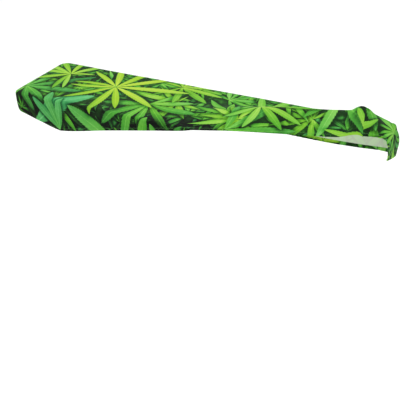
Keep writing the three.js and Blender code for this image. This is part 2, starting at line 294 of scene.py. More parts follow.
def makeFrontAndBack():
    share = 1 - (1 - np.linspace(0, 1, fineness["stationsAlong"])) ** fineness["stationCrowding"]
    front = frontRibs(mix(cover["leftStart"], frontRows["x"][-1], share))
    back = backRibs(mix(cover["leftStart"], backRows["x"][-1], share))
    frontTop = panelPoints(front[:, 0], back[:, 0], mix(0.5, 0.0, topSteps))
    backTop = panelPoints(front[:, 0], back[:, 0], mix(0.5, 1.0, topSteps))
    # the print runs at its real size from the back edge forward, however far the front is pushed back
    forward = np.concatenate([back[:, :1], backTop[:, ::-1], frontTop[:, 1:], front], axis=1)
    run = lengthsAlong(forward[..., 1:])
    flatForward = np.stack([forward[..., 0], halfDepth - run], axis=-1)
    rows = fineness["topRows"]
    flatBackTop = flatForward[:, 1:rows + 1][:, ::-1]
    flatBack = np.stack([back[..., 0], halfDepth + lengthsAlong(back[..., 1:])], axis=-1)
    frontStretch = makeStretch(np.concatenate([frontTop, front], axis=1), flatForward[:, rows:])
    backStretch = makeStretch(np.concatenate([backTop, back], axis=1),
                              np.concatenate([flatBackTop, flatBack], axis=1))
    return frontStretch, backStretch


# How far each point of a rib stands from the straight line between its two ends
def bendOf(rib):
    return rib - mix(rib[0], rib[-1], skirtSteps[:, None])


def makeRightEnd(front, back):
    rows = fineness["topRows"]
    hub, flatHub = front["points"][-1, 0], front["before"][-1, 0]
    lastFront, lastBack = front["points"][-1, rows:], back["points"][-1, rows:]
    tops = np.stack([rightRows[name] for name in ("topX", "topY", "topZ")], axis=-1)
    hems = np.stack([rightRows[name] for name in ("hemX", "hemY", "hemZ")], axis=-1)
    spans = len(tops) + 1
    count = spans * fineness["ribsPerRightRow"]
    top = smoothLine(np.vstack([lastFront[0], tops, lastBack[0]]), count)
    hem = smoothLine(np.vstack([lastFront[-1], hems, lastBack[-1]]), count)
    along = np.linspace(0, 1, count + 1)
    belly = np.interp(along, np.linspace(0, 1, spans + 1), [0, *rightRows["belly"], 0])
    turn = math.pi / 2 * ease((along - cover["backTurn"]) / (1 - cover["backTurn"]))
    outward = np.stack([np.cos(turn), np.sin(turn), np.full_like(turn, cover["bellyLift"])], axis=-1)
    outward /= np.linalg.norm(outward, axis=-1, keepdims=True)
    t = skirtSteps[None, :, None]
    crease = sum(depth * np.exp(-((along - at) / width) ** 2)
                 for at, depth, width in zip(*endCreases.values()))
    push = belly[:, None, None] * np.sin(math.pi * t)
    push = push - crease[:, None, None] * (1 - t) ** cover["creaseFade"]
    ribs = mix(top[:, None], hem[:, None], t) + outward[:, None] * push
    likeFront = 1 - ease(along / cover["frontShape"])
    likeBack = ease((along - cover["backShape"]) / (1 - cover["backShape"]))
    ribs = ribs + bendOf(lastFront) * likeFront[:, None, None]
    ribs = keepOutside(ribs + bendOf(lastBack) * likeBack[:, None, None])
    # the fan takes on the bends of the panel's last lines beside it
    across = topSteps[:, None]
    frontBend = front["points"][-1, :rows] - mix(hub, lastFront[0], across)
    backBend = back["points"][-1, :rows] - mix(hub, lastBack[0], across)
    fan = mix(hub, ribs[:, :1], across)
    fan = fan + frontBend * likeFront[:, None, None] + backBend * likeBack[:, None, None]
    ribs, fan, along = ribs[1:-1], keepOutside(fan[1:-1]), along[1:-1]
    # on the flat cut the end skirt opens like a fan from one corner seam to the other
    drift = front["before"][-1, rows] - lastFront[0, :2]
    flatEdge = ribs[:, 0, :2] + drift * (1 - along)[:, None]
    run = lengthsAlong(ribs)[..., None]
    seamAngle, lastAngle = math.radians(cover["frontSeamAngle"]), 0
    angle = np.where(along < cover["backSeamAt"],
                     mix(seamAngle, lastAngle, along / cover["backSeamAt"]), math.pi / 2)
    flatSkirt = flatEdge[:, None] + directionOf(angle)[:, None] * run
    flatFan = mix(flatHub, flatEdge[:, None], topSteps[None, :, None])
    before = np.concatenate([flatFan, flatSkirt], axis=1)
    after = before.copy()
    seam = int(np.argmax(along >= cover["backSeamAt"]))
    before[seam, rows:] = flatEdge[seam] + directionOf(lastAngle) * run[seam]
    # the front seam is the last front rib, whose right-hand side belongs to the end skirt
    frontRun = lengthsAlong(lastFront[None])[0][:, None]
    front["after"] = front["after"].copy()
    front["after"][-1, rows:] = front["before"][-1, rows] + directionOf(seamAngle) * frontRun
    return makeStretch(np.concatenate([fan, ribs], axis=1), before, after), seam


def makeLeftEnd(front, back):
    rows = fineness["topRows"]
    hub, flatHub = front["points"][0, 0], front["before"][0, 0]
    end = [cover[name] for name in ("endSkirtHeight", "endHang", "endTurnRadius", "endBelly")]
    # at the back the bend widens from the corner on only
    radius = cover["turnUnderRadius"]
    cornerStart = {1: [end[0], end[1], radius, end[3]], -1: end}
    backFirst = [backRows["hemDrop"][0], backRows["hang"][0], radius, backRows["belly"][0]]
    frontFirst = [frontRows["hemDrop"][0], cover["freeHang"], radius, 0]
    points, before, after, seams = [], [], [], []

    def addRib(x, y, outX, outY, shape, flatFirst, flatNext=None):
        drop, hang, under, belly = shape
        out, up = wrap(drop * skirtSteps, np.full_like(skirtSteps, hang), under)
        out = out + belly * np.sin(math.pi * skirtSteps)
        rib = np.stack([x + outX * out, y + outY * out, up], axis=-1)
        points.append(np.vstack([keepOutside(mix(hub, rib[0], topSteps[:, None])), rib]))
        run = lengthsAlong(rib[None])[0][:, None]
        edge = rib[0, :2]
        fan = mix(flatHub, edge, topSteps[:, None])
        before.append(np.vstack([fan, edge + np.array(flatFirst) * run]))
        after.append(np.vstack([fan, edge + np.array(flatNext or flatFirst) * run]))

    # a rib of the stretch beside a corner, at the back for side 1 and at the front for side -1
    def addNear(side, corner, first, share):
        x = mix(cover["leftStart"], corner - halfLength, share)
        shape = [mix(a, b, share) for a, b in zip(first, cornerStart[side])]
        addRib(x, side * halfDepth, 0, side, shape, (0, side))

    # a rib of a corner, whose seam is in its middle
    def addCorner(side, corner, share):
        outX, outY = -math.sin(share * math.pi / 2), side * math.cos(share * math.pi / 2)
        x = corner - halfLength + corner * outX
        y = side * (halfDepth - corner) + corner * outY
        along, across = (0, side), (-1, 0)
        if share == 0.5:
            seams.append(len(points))
            first, following = (along, across) if side > 0 else (across, along)
        else:
            first = following = along if share < 0.5 else across
        shape = [mix(a, b, share) for a, b in zip(cornerStart[side], end)]
        addRib(x, y, outX, outY, shape, first, following)

    near = np.linspace(0, 1, fineness["nearCornerRibs"] + 1)
    turned = np.linspace(0, 1, fineness["cornerRibs"] + 1)
    straight = np.linspace(0, 1, fineness["leftSideRibs"] + 1)[1:-1]
    backCorner, frontCorner = cover["backCornerRadius"], cover["frontCornerRadius"]
    for share in near[1:]:
        addNear(1, backCorner, backFirst, share)
    for share in turned[1:]:
        addCorner(1, backCorner, share)
    for share in straight:
        y = mix(halfDepth - backCorner, frontCorner - halfDepth, share)
        addRib(-halfLength, y, -1, 0, end, (-1, 0))
    for share in turned[::-1]:
        addCorner(-1, frontCorner, share)
    for share in near[-2:0:-1]:
        addNear(-1, frontCorner, frontFirst, share)
    return makeStretch(np.array(points), np.array(before), np.array(after)), seams


def joinRing(*stretches):
    return {name: np.concatenate([stretch[name] for stretch in stretches])
            for name in ("points", "before", "after")}


def reverseStretch(stretch):
    return makeStretch(stretch["points"][::-1], stretch["after"][::-1], stretch["before"][::-1])


# Numbers for the points, where ribs that meet share theirs
def numberPoints(points):
    keys = np.round(points.reshape(-1, 3), 3)
    _, first, numbers = np.unique(keys, axis=0, return_index=True, return_inverse=True)
    return first, numbers.reshape(points.shape[:2])


def vertexNormals(places, quads):
    a, b, c, d = (places[quads[:, k]] for k in range(4))
    faces = np.cross(c - a, d - b)
    normals = np.zeros_like(places)
    for k in range(4):
        np.add.at(normals, quads[:, k], faces)
    return normals / np.maximum(np.linalg.norm(normals, axis=-1, keepdims=True), 1e-12)


def ringQuads(numbers):
    following = np.roll(numbers, -1, axis=0)
    return np.stack([numbers[:, :-1], numbers[:, 1:], following[:, 1:], following[:, :-1]],
                    axis=-1).reshape(-1, 4)


# Small folds that the photograph shows or such a cloth has, on the flat cut: from one place to another,
# with half a width, and a height that is below 0 for a trough. Each fades out at its ends.
foldFade = 0.35
softFolds = rowsOf(
    "x1 y1 x2 y2 width height",
    (-640, -170, -560, -255, 12, -0.9),
    (-655, 60, -560, 120, 16, 0.8),
    (-655, -80, -540, -140, 14, 0.7),
    (-300, -160, 80, -150, 16, -0.7),
    (-60, -215, 330, -120, 14, 0.9),
    (150, -150, 470, -20, 12, -1.1),
    (330, -70, 545, 60, 9, 1.4),
    (400, -60, 560, 20, 8, -1.2),
    (470, -30, 575, 50, 7, 1.3),
    (60, 60, 470, 120, 15, -0.8),
)


def foldHeight(flat):
    height = np.zeros(len(flat))
    for x1, y1, x2, y2, width, rise in zip(*softFolds.values()):
        start, run = np.array([x1, y1]), np.array([x2 - x1, y2 - y1])
        t = ((flat - start) @ run) / (run @ run)
        away = np.linalg.norm(flat - start - np.clip(t, 0, 1)[:, None] * run, axis=-1)
        fade = ease(t / foldFade) * ease((1 - t) / foldFade)
        height += rise * np.exp(-(away / width) ** 2) * fade
    return height


# Slow unevenness of cloth that lies loose, the same at each run: broad waves, and lower and shorter ones.
# Their lengths have no common measure, so that no place looks like another.
def unevenness(flat):
    x, y = flat[:, 0], flat[:, 1]
    broadHeight, shortHeight = 0.45, 0.25
    broad = np.sin(x / 71 + 1.3 * np.sin(y / 83)) * np.cos(y / 59 + 0.6)
    short = np.sin(x / 33 - y / 47 + 2.1) * np.cos(x / 97)
    return broadHeight * broad + shortHeight * short


# The elastic gathers the hem: short waves that die out up the skirt
gathers = {
    "pitch": 19,                # from one wave to the next
    "fade": 17,                 # how far up they reach
    "front": 0.25,              # their height, stretch by stretch
    "rightEnd": 0.8,
    "back": 0.9,
    "leftEnd": 0.25,
    "drift": 1.7,               # the waves draw together and apart by this angle,
    "driftLength": 61,          # over this length
    "low": 0.3,                 # the lowest of them, as a share of the highest
    "lowLength": 37,
}


def hemGathers(run, fromHem, strength):
    turn = 2 * math.pi * run / gathers["pitch"]
    wave = np.sin(turn + gathers["drift"] * np.sin(run / gathers["driftLength"]))
    middle, swing = (1 + gathers["low"]) / 2, (1 - gathers["low"]) / 2
    swell = middle + swing * np.sin(run / gathers["lowLength"] + 1)
    return strength * wave * swell * np.exp(-(fromHem / gathers["fade"]) ** 2)


# All ribs in one ring, seen from above against the clock from the front left. With them go the numbers
# of the ribs in a seam, and the height of each rib's gathers.
def makeRing():
    front, back = makeFrontAndBack()
    right, backSeam = makeRightEnd(front, back)
    left, leftSeams = makeLeftEnd(front, back)
    counts = [len(stretch["points"]) for stretch in (front, right, back, left)]
    rightStart, leftStart = counts[0], sum(counts[:3])
    seams = [rightStart - 1, rightStart + backSeam] + [leftStart + k for k in leftSeams]
    strength = np.repeat([gathers[name] for name in ("front", "rightEnd", "back", "leftEnd")], counts)
    return joinRing(front, right, reverseStretch(back), left), seams, strength


# The cloth's two sides. Its hem is doubled.
def bothSides(places, normals, toHem, hump):
    half = cover["clothThickness"] / 2
    doubled = ease((cover["hemWidth"] + cover["hemStep"] / 2 - toHem) / cover["hemStep"])
    fromHump = np.linalg.norm(places - hump, axis=-1)
    crowded = 1 - ease((fromHump - cover["humpReach"]) / cover["humpReach"])
    height = half + cover["hemSwell"] * doubled
    depth = half - (cover["clothThickness"] - cover["humpThickness"]) * crowded
    depth = depth + cover["clothThickness"] * doubled * cover["hemInward"]
    lift = halfThickness * np.array([0, 0, 1])
    return places + normals * height[:, None] + lift, places - normals * depth[:, None] + lift


# The flat places of each quad's corners: a rib shows one side of a seam to each neighbour
def flatCorners(after, before):
    following = np.roll(before, -1, axis=0)
    return np.stack([after[:, :-1], after[:, 1:], following[:, 1:], following[:, :-1]],
                    axis=2).reshape(-1, 4, 2)


# The same for the outside, the inside and the two strips of the rim. The hem's inner layer is the
# printed side again, turned over at the hem.
def flatOfAll(ring, hemBand):
    after, before = ring["after"], ring["before"]
    hemAfter, hemBefore = after[:, -1:], before[:, -1:]
    outer = flatCorners(after, before)
    turned = flatCorners(2 * hemAfter - after, 2 * hemBefore - before)
    inner = np.where(hemBand[:, None, None], turned, outer)
    rim = flatCorners(np.repeat(hemAfter, 2, axis=1), np.repeat(hemBefore, 2, axis=1))
    return np.concatenate([outer, inner[:, ::-1], rim, rim])


def makeCoverMesh():
    ring, seams, strength = makeRing()
    points = ring["points"]
    ribCount, rowCount = points.shape[:2]
    first, numbers = numberPoints(points)
    quads = ringQuads(numbers)
    rib, row = first // rowCount, first % rowCount
    farAway = 1000
    skirtToHem = (1 - skirtSteps) * cover["skirtHeight"]
    toHem = np.concatenate([np.full(fineness["topRows"], farAway), skirtToHem])[row]

    # small forms on the main ones
    flat = ring["before"].reshape(-1, 2)[first]
    relief = foldHeight(flat)
    relief += unevenness(flat) * np.clip((toHem - cover["evenHem"]) / cover["evenFade"], 0, 1)
    relief += hemGathers(lengthsAlong(points[None, :, -1])[0][rib], toHem, strength[rib])
    relief -= cover["seamDepth"] * (np.isin(rib, seams) & (row >= fineness["topRows"]))
    places = points.reshape(-1, 3)[first]
    places = places + vertexNormals(places, quads) * relief[:, None]
    normals = vertexNormals(places, quads)

    # two sides, and a rim that rounds the hem
    outer, inner = bothSides(places, normals, toHem, points[fineness["stationsAlong"] - 1, 0])
    hem, aboveHem = numbers[:, -1], numbers[:, -2]
    beyond = places[hem] - places[aboveHem]
    beyond /= np.linalg.norm(beyond, axis=-1, keepdims=True)
    rim = (outer[hem] + inner[hem]) / 2 + beyond * cover["clothThickness"] * cover["rimRoundness"]
    count = len(places)
    rimNumbers = 2 * count + np.arange(ribCount)
    rimQuads = [ringQuads(np.stack([hem, rimNumbers], axis=1)),
                ringQuads(np.stack([rimNumbers, hem + count], axis=1))]
    corners = np.concatenate([quads, (quads + count)[:, ::-1], *rimQuads])

    # the second material is the unprinted reverse, which ends where the hem is turned up
    hemBand = np.tile(np.arange(rowCount - 1) >= rowCount - len(fineness["hemRows"]) + 1, ribCount)
    flats = flatOfAll(ring, hemBand)
    wears = np.concatenate([np.zeros(len(quads), int), np.where(hemBand, 0, 1), np.zeros(2 * ribCount, int)])

    # a quad at the point where a fan of ribs meets has two corners in one, and becomes a triangle
    keep = corners != np.roll(corners, -1, axis=1)
    data = bpy.data.meshes.new("coverCloth")
    data.from_pydata(np.concatenate([outer, inner, rim]) * mm, [],
                     [list(face[kept]) for face, kept in zip(corners, keep)])
    layer = data.uv_layers.new(name="flatCut")
    layer.uv.foreach_set("vector", (flats[keep] * mm).ravel())
    data.polygons.foreach_set("material_index", wears)
    data.polygons.foreach_set("use_smooth", np.ones(len(wears), bool))
    data.update()
    stitchRow = rowCount - len(fineness["hemRows"]) + fineness["hemRows"].index(cover["stitchesAt"])
    stitchLine = numbers[:, stitchRow]
    return data, outer[stitchLine], normals[stitchLine]


clothData, stitchPlaces, stitchNormals = makeCoverMesh()
print("cover cloth:", len(clothData.vertices), "points,", len(clothData.polygons), "faces")

clothObject = bpy.data.objects.new("printedCloth", clothData)
bpy.context.scene.collection.objects.link(clothObject)


# One row of stitches holds the hem, on the outside all round
stitches = {
    "pitch": 4.2,
    "length": 3.1,
    "thread": 0.42,             # half its thickness, drawn about three times coarser than it is
    "rise": 0.1,                # its middle is so far above the cloth
    "around": 6,                # sides of the thread
    "rings": 4,
}


# One stitch, pointed at both ends, in half lengths and half thicknesses: its points and faces
def stitchShape():
    around, rings = stitches["around"], stitches["rings"]
    shape = [(-1, 0, 0)]
    for polar in np.linspace(0, math.pi, rings + 2)[1:-1]:
        for angle in np.arange(around) * 2 * math.pi / around:
            out = math.sin(polar)
            shape.append((-math.cos(polar), out * math.cos(angle), out * math.sin(angle)))
    shape.append((1, 0, 0))
    faces = []
    lastRing = 1 + (rings - 1) * around
    for k in range(around):
        following = (k + 1) % around
        faces.append((0, 1 + following, 1 + k))
        for a in range(1, lastRing, around):
            b = a + around
            faces.append((a + k, a + following, b + following, b + k))
        faces.append((lastRing + k, lastRing + following, len(shape) - 1))
    return shape, faces


# Stitches at even steps along a closed line
def makeStitchMesh(line, normals):
    closed, closedNormals = np.vstack([line, line[:1]]), np.vstack([normals, normals[:1]])
    run = lengthsAlong(closed[None])[0]
    count = int(run[-1] / stitches["pitch"])
    middles = (np.arange(count) + 0.5) * run[-1] / count

    def alongLine(values, places):
        return np.stack([np.interp(places, run, values[:, k]) for k in range(3)], axis=-1)

    at = alongLine(closed, middles)
    ahead = alongLine(closed, middles + 1) - at
    ahead /= np.linalg.norm(ahead, axis=-1, keepdims=True)
    up = alongLine(closedNormals, middles)
    up -= ahead * (ahead * up).sum(axis=-1, keepdims=True)
    up /= np.linalg.norm(up, axis=-1, keepdims=True)
    frames = np.stack([ahead, np.cross(up, ahead), up], axis=1)

    shape, faces = stitchShape()
    size = np.array([stitches["length"] / 2, stitches["thread"], stitches["thread"]])
    local = np.array(shape) * size + np.array([0, 0, stitches["rise"]])
    points = at[:, None] + np.einsum("vi,nij->nvj", local, frames)
    allFaces = [tuple(v + n * len(shape) for v in face) for n in range(count) for face in faces]
    data = bpy.data.meshes.new("hemStitches")
    data.from_pydata(points.reshape(-1, 3) * mm, [], allFaces)
    data.polygons.foreach_set("use_smooth", np.ones(len(allFaces), bool))
    data.update()
    return data


stitchData = makeStitchMesh(stitchPlaces, stitchNormals)
stitchObject = bpy.data.objects.new("hemStitching", stitchData)
bpy.context.scene.collection.objects.link(stitchObject)
print("hem stitching:", len(stitchData.polygons), "faces")


# A colour as a screen shows it, turned to the linear light that Blender counts in
def linear(hexColour):
    channels = [int(hexColour[k:k + 2], 16) / 255 for k in (1, 3, 5)]
    return (*(c / 12.92 if c <= 0.04045 else ((c + 0.055) / 1.055) ** 2.4 for c in channels), 1)


# Adds a node. Its inputs are numbers, sockets or other nodes, by place or by name.
def addNode(tree, kind, inputs=(), **settings):
    made = tree.nodes.new(kind)
    for name, value in settings.items():
        setattr(made, name, value)
    for key, value in inputs.items() if isinstance(inputs, dict) else enumerate(inputs):
        if isinstance(key, str):
            socket = next(one for one in made.inputs if one.name == key and one.enabled)
        else:
            socket = made.inputs[key]
        if isinstance(value, bpy.types.Node):
            value = next(one for one in value.outputs if one.enabled)
        if isinstance(value, bpy.types.NodeSocket):
            tree.links.new(value, socket)
        else:
            socket.default_value = value
    return made


# The print: leaves of several fingers, laid over each other from dark to bright. A leaf is worked out
# in its own lengths, and passes on three numbers: first lightness, then hue from blue-green, 0, to
# yellow-green, 1, and last how much of a pale rib or vein shows.
leaf = {
    "teeth": 16,                # along each edge of a finger
    "toothDepth": 0.2,
    "toothSlant": 1.3,          # they point to the tip
    "stalkPower": 0.85,         # how a finger swells from its stalk,
    "tipPower": 0.7,            # and narrows to its tip
    "fullness": 2.9,            # makes its widest place as wide as it was asked for
    "slimming": 0.004,          # taken off all along, so that its ends are points
    "softEdge": 0.006,
    "shadow": 0.13,             # how far its shadow reaches over what lies below
    "shadowDepth": 0.6,
    "shadowEnds": (0.62, 0.46),     # from a finger's middle, where the shadow starts and where it is whole
    "shrink": 0.45,             # the outermost fingers are shorter by this share
    "unequal": 0.22,            # how uneven its fingers' lengths are
    "jitter": 0.35,             # and their directions, as a share of the angle between them
    "droop": 0.03,              # outer fingers bend back
    "sway": 0.16,               # and each bends its own way
    "rib": 0.016,               # width at the stalk,
    "ribTaper": 0.012,          # of which this is lost at the tip
    "ribEdges": (1.1, 0.2),     # in widths of the rib, where it starts to show and where it is palest
    "vein": 0.4,                # how clear the side veins are beside the rib
    "veinEdges": (0.2, 0.02),   # the same for a vein, in steps from tooth to tooth
}
# What adds to a leaf's lightness and hue
leafTones = {
    "sideTone": 0.09,           # one side of a finger catches more light
    "fingerTone": 0.24,         # each finger has its own lightness,
    "fingerHue": 0.16,          # and its own hue
    "swellTone": 0.16,          # lighter between the veins
    "tipTone": -0.1,
    "tipHue": -0.22,
    "baseTone": 0.11,           # taken off, so that a leaf keeps the lightness it was asked for
}
# Odd factors that scatter the number of a finger into chances
scatter = (12.99, 437.58, 57.3, 31.7)


def makeLeafTree():
    tree = bpy.data.node_groups.new("fingeredLeaf", "ShaderNodeTree")
    for name in ("Below", "Place", "Centre", "Along", "Across"):
        tree.interface.new_socket(name, in_out="INPUT", socket_type="NodeSocketVector")
    for name in ("Fingers", "Spread", "Width", "Tone", "Hue", "Chance"):
        tree.interface.new_socket(name, in_out="INPUT", socket_type="NodeSocketFloat")
    tree.interface.new_socket("Above", in_out="OUTPUT", socket_type="NodeSocketVector")
    given = addNode(tree, "NodeGroupInput").outputs
    number, vector = "ShaderNodeMath", "ShaderNodeVectorMath"

    # which finger this place belongs to
    arm = addNode(tree, vector, [given["Place"], given["Centre"]], operation="SUBTRACT")
    x = addNode(tree, vector, [arm, given["Along"]], operation="DOT_PRODUCT")
    y = addNode(tree, vector, [arm, given["Across"]], operation="DOT_PRODUCT")
    radius = addNode(tree, "ShaderNodeCombineXYZ", [x, y])
    radius = addNode(tree, vector, [radius], operation="LENGTH")
    angle = addNode(tree, number, [y, x], operation="ARCTAN2")
    turns = addNode(tree, number, [angle, given["Spread"]], operation="DIVIDE")
    nearest = addNode(tree, number, [turns], operation="ROUND")
    capped = addNode(tree, number, [nearest, given["Fingers"]], operation="MINIMUM")
    least = addNode(tree, number, [given["Fingers"], -1], operation="MULTIPLY")
    finger = addNode(tree, number, [capped, least], operation="MAXIMUM")

    # three chances for each finger, from 0 to 1
    key = addNode(tree, number, [finger, scatter[0], given["Chance"]], operation="MULTIPLY_ADD")
    key = addNode(tree, number, [key], operation="SINE")
    chance = addNode(tree, number, [key, scatter[1]], operation="MULTIPLY")
    chance = addNode(tree, number, [chance], operation="FRACT")
    second = addNode(tree, number, [chance, scatter[2]], operation="MULTIPLY")
    second = addNode(tree, number, [second], operation="FRACT")
    third = addNode(tree, number, [second, scatter[3]], operation="MULTIPLY")
    third = addNode(tree, number, [third], operation="FRACT")

    # its direction and length
    middle = addNode(tree, number, [chance, leaf["jitter"], finger], operation="MULTIPLY_ADD")
    middle = addNode(tree, number, [middle, leaf["jitter"] / 2], operation="SUBTRACT")
    middle = addNode(tree, number, [middle, given["Spread"]], operation="MULTIPLY")
    off = addNode(tree, number, [angle, middle], operation="SUBTRACT")
    most = addNode(tree, number, [given["Fingers"], 0.6], operation="ADD")
    outness = addNode(tree, number, [finger, most], operation="DIVIDE")
    squared = addNode(tree, number, [outness, outness], operation="MULTIPLY")
    length = addNode(tree, number, [squared, -leaf["shrink"], 1], operation="MULTIPLY_ADD")
    length = addNode(tree, number, [second, -leaf["unequal"], length], operation="MULTIPLY_ADD")
    reach = addNode(tree, number, [radius, length], operation="DIVIDE")

    # along and across the finger, which bends a little
    cosine = addNode(tree, number, [off], operation="COSINE")
    sine = addNode(tree, number, [off], operation="SINE")
    alongFree = addNode(tree, number, [reach, cosine], operation="MULTIPLY")
    along = addNode(tree, number, [alongFree, 1], operation="MINIMUM")
    along = addNode(tree, number, [along, 0], operation="MAXIMUM")
    straight = addNode(tree, number, [reach, sine], operation="MULTIPLY")
    sway = addNode(tree, number, [third, leaf["sway"], -leaf["sway"] / 2], operation="MULTIPLY_ADD")
    sway = addNode(tree, number, [finger, -leaf["droop"], sway], operation="MULTIPLY_ADD")
    bend = addNode(tree, number, [along, along], operation="MULTIPLY")
    across = addNode(tree, number, [bend, sway, straight], operation="MULTIPLY_ADD")
    apart = addNode(tree, number, [across], operation="ABSOLUTE")

    # the toothed outline
    swell = addNode(tree, number, [along, leaf["stalkPower"]], operation="POWER")
    left = addNode(tree, number, [1, along], operation="SUBTRACT")
    taper = addNode(tree, number, [left, leaf["tipPower"]], operation="POWER")
    body = addNode(tree, number, [swell, taper], operation="MULTIPLY")
    body = addNode(tree, number, [body, given["Width"]], operation="MULTIPLY")
    slant = addNode(tree, number, [apart, -leaf["toothSlant"], along], operation="MULTIPLY_ADD")
    slant = addNode(tree, number, [slant, leaf["teeth"]], operation="MULTIPLY")
    tooth = addNode(tree, number, [slant], operation="FRACT")
    tooth = addNode(tree, number, [tooth, leaf["toothDepth"], 1 - 0.6 * leaf["toothDepth"]],
                    operation="MULTIPLY_ADD")
    halfWidth = addNode(tree, number, [body, tooth], operation="MULTIPLY")
    halfWidth = addNode(tree, number, [halfWidth, leaf["fullness"], -leaf["slimming"]],
                        operation="MULTIPLY_ADD")
    inside = addNode(tree, number, [halfWidth, apart], operation="SUBTRACT")
    covers = addNode(tree, "ShaderNodeMapRange", {"Value": inside, "From Min": -leaf["softEdge"],
                     "From Max": leaf["softEdge"]}, interpolation_type="SMOOTHSTEP")

    # its shadow on what lies below
    nearOutline = addNode(tree, "ShaderNodeMapRange", {"Value": inside, "From Min": -leaf["shadow"],
                          "From Max": 0.0}, interpolation_type="SMOOTHSTEP")
    fromMiddle = addNode(tree, number, [alongFree, 0.5], operation="SUBTRACT")
    fromMiddle = addNode(tree, number, [fromMiddle], operation="ABSOLUTE")
    shadeStarts, shadeWhole = leaf["shadowEnds"]
    nearLeaf = addNode(tree, "ShaderNodeMapRange", {"Value": fromMiddle, "From Min": shadeStarts,
                       "From Max": shadeWhole, "To Max": leaf["shadowDepth"]})
    shade = addNode(tree, number, [nearOutline, nearLeaf], operation="MULTIPLY")
    lit = addNode(tree, number, [1, shade], operation="SUBTRACT")
    dim = addNode(tree, "ShaderNodeCombineXYZ", [lit, 1, lit])
    below = addNode(tree, vector, [given["Below"], dim], operation="MULTIPLY")

    # ribs: one along the middle, and side veins up to the teeth
    ribWidth = addNode(tree, number, [along, -leaf["ribTaper"], leaf["rib"]], operation="MULTIPLY_ADD")
    ribPlace = addNode(tree, number, [apart, ribWidth], operation="DIVIDE")
    ribStarts, ribWhole = leaf["ribEdges"]
    midrib = addNode(tree, "ShaderNodeMapRange", {"Value": ribPlace, "From Min": ribStarts,
                     "From Max": ribWhole}, interpolation_type="SMOOTHSTEP")
    fromVein = addNode(tree, number, [slant, 0.5], operation="PINGPONG")
    veinStarts, veinWhole = leaf["veinEdges"]
    vein = addNode(tree, "ShaderNodeMapRange", {"Value": fromVein, "From Min": veinStarts,
                   "From Max": veinWhole, "To Max": leaf["vein"]}, interpolation_type="SMOOTHSTEP")
    ribs = addNode(tree, number, [midrib, vein], operation="MAXIMUM")

    # lightness and hue
    side = addNode(tree, number, [across, given["Width"]], operation="DIVIDE")
    tone = given["Tone"]
    for source, name in ((side, "sideTone"), (third, "fingerTone"), (fromVein, "swellTone"),
                         (along, "tipTone")):
        tone = addNode(tree, number, [source, leafTones[name], tone], operation="MULTIPLY_ADD")
    tone = addNode(tree, number, [tone, leafTones["baseTone"]], operation="SUBTRACT")
    hue = given["Hue"]
    for source, name in ((second, "fingerHue"), (along, "tipHue")):
        hue = addNode(tree, number, [source, leafTones[name], hue], operation="MULTIPLY_ADD")
    own = addNode(tree, "ShaderNodeCombineXYZ", [tone, hue, ribs])
    above = addNode(tree, "ShaderNodeMix", {"Factor": covers, "A": below, "B": own}, data_type="VECTOR")
    addNode(tree, "NodeGroupOutput", [above])
    return tree


# Undergrowth, from the lowest layer up: a leaf stands in each cell, turned by chance
undergrowth = rowsOf(
    "cell reach fingers spread width tone hue shift",
    (150, 150, 2, 40, 0.1, 0.24, 0.35, 0.3),
    (170, 160, 3, 36, 0.1, 0.3, 0.3, 1.7),
    (190, 180, 3, 34, 0.095, 0.36, 0.45, 2.9),
    (210, 190, 3, 36, 0.095, 0.42, 0.35, 3.4),
    (230, 200, 3, 33, 0.09, 0.46, 0.5, 4.3),
    (250, 210, 4, 31, 0.085, 0.5, 0.5, 5.2),
    (280, 230, 4, 32, 0.085, 0.54, 0.65, 6.1),
)
# How the leaves of one layer differ by chance
undergrowthChance = {
    "edge": 0.22,               # a leaf narrows away over this share of its cell, towards the cell's edge
    "shortest": 0.75,           # length, as a share of the layer's,
    "longer": 0.3,              # and how much more at most
    "tilt": 0.35,               # how much narrower at most
    "tone": 0.14,
    "hue": 0.3,
}
# Leaves placed one by one on the flat cut, from the lowest up: place and reach in millimetres, the way that
# the middle finger points, how narrow the leaf looks because it is tilted, fingers to each side of the
# middle one, the angle between them in degrees, half a finger's width as a share of its length,
# lightness and hue
placedLeaves = rowsOf(
    "x y reach points tilt fingers spread width tone hue",
    (-650, -90, 260, 40, 0.8, 4, 33, 0.085, 0.46, 0.35),
    (-140, -40, 270, -75, 0.8, 4, 31, 0.08, 0.5, 0.5),
    (180, -110, 280, -20, 0.8, 3, 34, 0.085, 0.48, 0.45),
    (470, 170, 260, -60, 0.8, 4, 31, 0.08, 0.5, 0.5),
    (-590, -262, 310, 35, 0.9, 0, 30, 0.13, 0.7, 0.1),
    (-470, -262, 200, 105, 0.9, 1, 24, 0.12, 0.65, 0.2),
    (-215, -265, 230, 150, 0.9, 0, 30, 0.14, 0.58, 0.45),
    (-120, -268, 170, 80, 0.9, 0, 30, 0.15, 0.62, 0.5),
    (-20, -262, 150, 115, 0.9, 0, 30, 0.15, 0.6, 0.45),
    (90, -262, 280, 40, 0.9, 0, 30, 0.12, 0.58, 0.4),
    (-560, 60, 240, 160, 0.75, 4, 32, 0.075, 0.56, 0.75),
    (-100, 120, 230, 20, 0.7, 4, 32, 0.075, 0.56, 0.75),
    (240, 40, 240, 10, 0.7, 4, 32, 0.078, 0.54, 0.6),
    (-330, 30, 290, 10, 0.8, 5, 32.7, 0.068, 0.6, 1.0),
    (640, -40, 230, 200, 0.8, 4, 32, 0.078, 0.56, 0.7),
)
# Broad light and shade of the print: round a place, out to its reach, with a change of lightness there
broadLight = rowsOf(
    "x y reach change",
    (20, -230, 330, -0.19),
    (300, -240, 260, -0.12),
    (-230, 60, 330, 0.07),
    (130, 60, 300, 0.08),
)
# The print is darker towards its front, y being the depth on the flat cut
frontShade = {"y": (-0.24, -0.08), "change": (-0.35, -0.18)}
